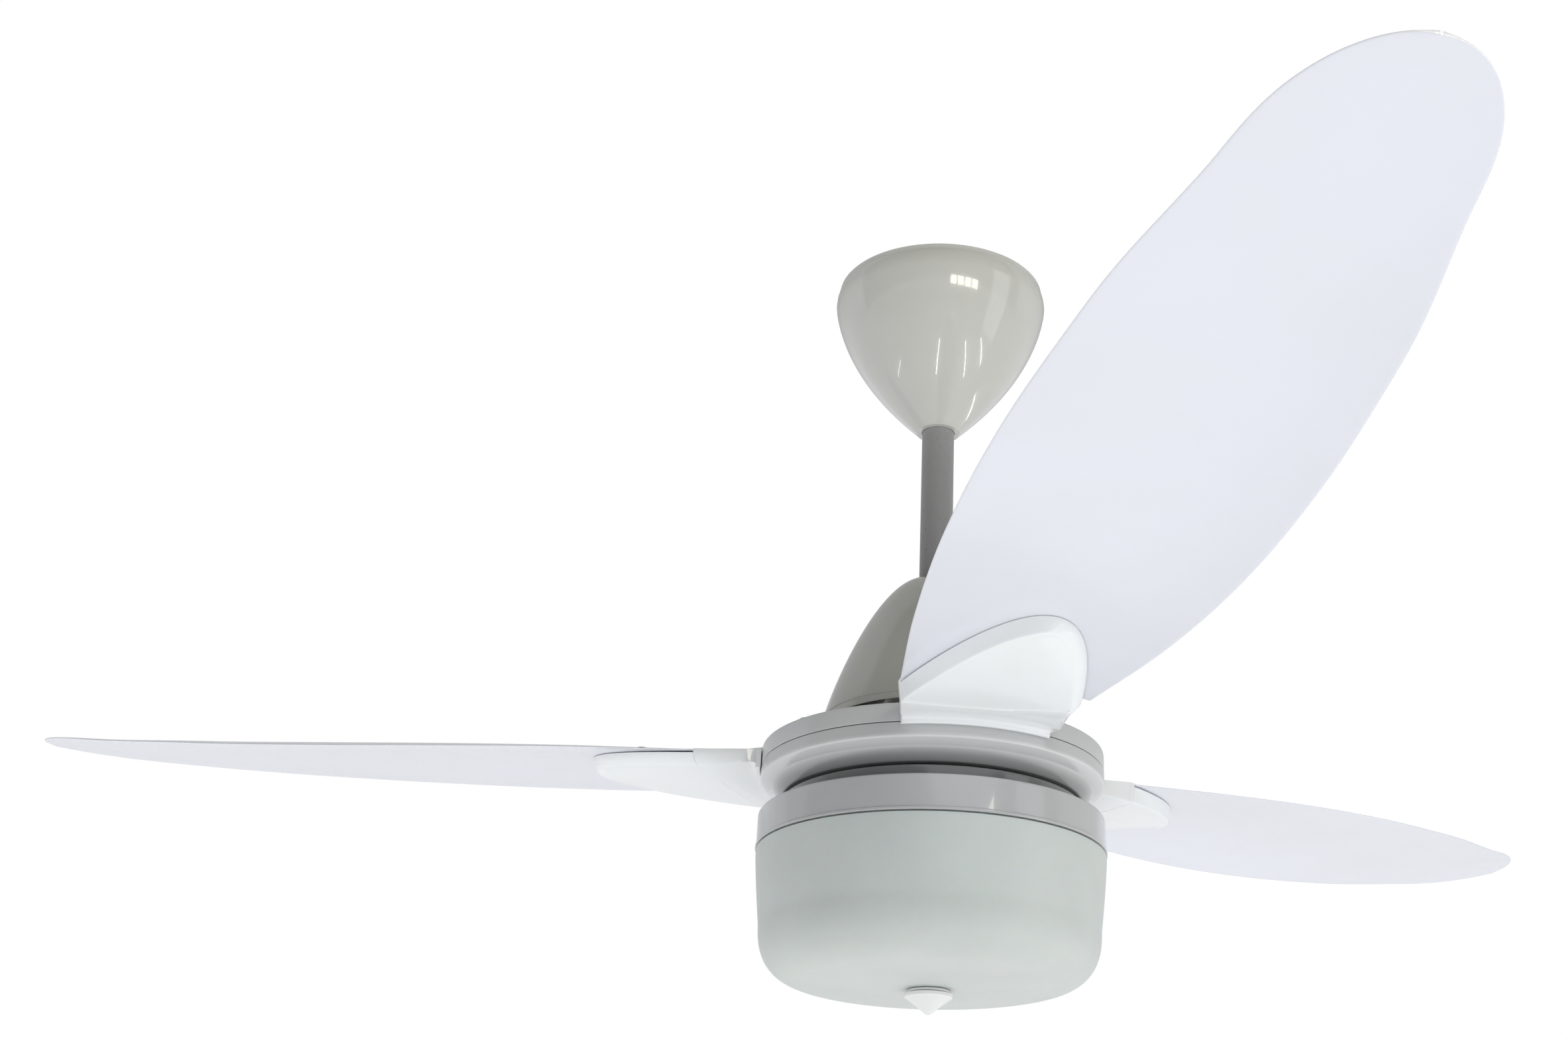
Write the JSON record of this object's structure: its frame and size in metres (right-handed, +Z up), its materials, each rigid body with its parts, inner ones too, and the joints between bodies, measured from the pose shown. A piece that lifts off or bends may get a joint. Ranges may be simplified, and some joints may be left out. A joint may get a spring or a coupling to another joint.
{
  "type": "ceiling fan with light",
  "caption": "Ceiling fan with broad swept blades on a slim outer-rotor motor, bell canopies on a short rod, and a frosted drum glass light below.",
  "frame": {"origin": "middle of the hanger bracket's top face, on the ceiling and on the rotor's axis", "axes": "+Z up, out of the ceiling face and along the rotor's axis; +X along the hanger bolt"},
  "size_m": [1.004, 0.9978, 0.4412],
  "materials": {
    "motor_enamel": "gloss light grey enamel",
    "canopy_grey": "gloss warm grey moulding",
    "rod_enamel": "satin mid grey enamel",
    "blade_white": "gloss white moulding",
    "arm_white": "gloss cool white moulding",
    "frosted_glass": "acid frosted, faint green",
    "finial_white": "gloss white",
    "zinc_steel": "zinc plated",
    "dark_steel": "black oxide",
    "laminations": "varnished electrical steel",
    "copper_wire": "enamelled copper",
    "cast_aluminium": "as cast",
    "rubber": "matt black",
    "black_case": "matt black moulding",
    "white_fitting": "matt white moulding",
    "lamp_opal": "opal diffuser"
  },
  "bodies": {
    "ceiling_hanger": {"hanger_bracket": "zinc_steel", "hanger_bolt": "zinc_steel", "hanger_nut": "zinc_steel", "split_pin": "zinc_steel", "terminal_block": "white_fitting"},
    "hanging_frame": {"downrod": "rod_enamel", "swing_bush": "rubber", "motor_shaft": "zinc_steel", "coupling_bolt": "zinc_steel", "coupling_nut": "zinc_steel", "stator_core": "laminations", "winding_upper": "copper_wire", "winding_lower": "copper_wire", "light_pan": "motor_enamel", "pan_nut": "zinc_steel", "lamp_bracket": "zinc_steel", "bracket_nut": "zinc_steel", "lampholder_a": "white_fitting", "lampholder_b": "white_fitting", "bulb_a": "lamp_opal", "bulb_b": "lamp_opal", "capacitor": "black_case", "glass_stud": "zinc_steel"},
    "rotor": {"upper_shell": "motor_enamel", "lower_shell": "motor_enamel", "rotor_cage": "cast_aluminium", "bearing_upper": "zinc_steel", "bearing_lower": "zinc_steel", "shell_screw_1": "zinc_steel", "shell_screw_2": "zinc_steel", "shell_screw_3": "zinc_steel", "blade_a": "blade_white", "blade_arm_a": "arm_white", "blade_screw_a1": "dark_steel", "blade_screw_a2": "dark_steel", "arm_screw_a1": "dark_steel", "arm_screw_a2": "dark_steel", "blade_b": "blade_white", "blade_arm_b": "arm_white", "blade_screw_b1": "dark_steel", "blade_screw_b2": "dark_steel", "arm_screw_b1": "dark_steel", "arm_screw_b2": "dark_steel", "blade_c": "blade_white", "blade_arm_c": "arm_white", "blade_screw_c1": "dark_steel", "blade_screw_c2": "dark_steel", "arm_screw_c1": "dark_steel", "arm_screw_c2": "dark_steel"},
    "upper_canopy": {"upper_canopy": "canopy_grey", "upper_canopy_grub_screw": "zinc_steel"},
    "lower_canopy": {"lower_canopy": "canopy_grey", "lower_canopy_grub_screw": "zinc_steel"},
    "glass_light": {"glass_shade": "frosted_glass", "glass_gasket": "rubber", "finial_washer": "finial_white", "finial": "finial_white"}
  },
  "joints": [
    {"name": "rod_swing", "type": "hinge", "parent": "ceiling_hanger", "child": "hanging_frame", "pos_m": [0, 0, -0.03], "axis": [1, 0, 0], "range_deg": [-2, 2]},
    {"name": "rotor_spin", "type": "hinge", "parent": "hanging_frame", "child": "rotor", "pos_m": [0, 0, -0.299], "axis": [0, 0, 1], "continuous": true},
    {"name": "upper_canopy_slide", "type": "slide", "parent": "hanging_frame", "child": "upper_canopy", "axis": [0, 0, -1], "range_m": [0, 0.05]},
    {"name": "lower_canopy_slide", "type": "slide", "parent": "hanging_frame", "child": "lower_canopy", "axis": [0, 0, 1], "range_m": [0, 0.038]},
    {"name": "shade_drop", "type": "slide", "parent": "hanging_frame", "child": "glass_light", "axis": [0, 0, -1], "range_m": [0, 0.11]}
  ]
}
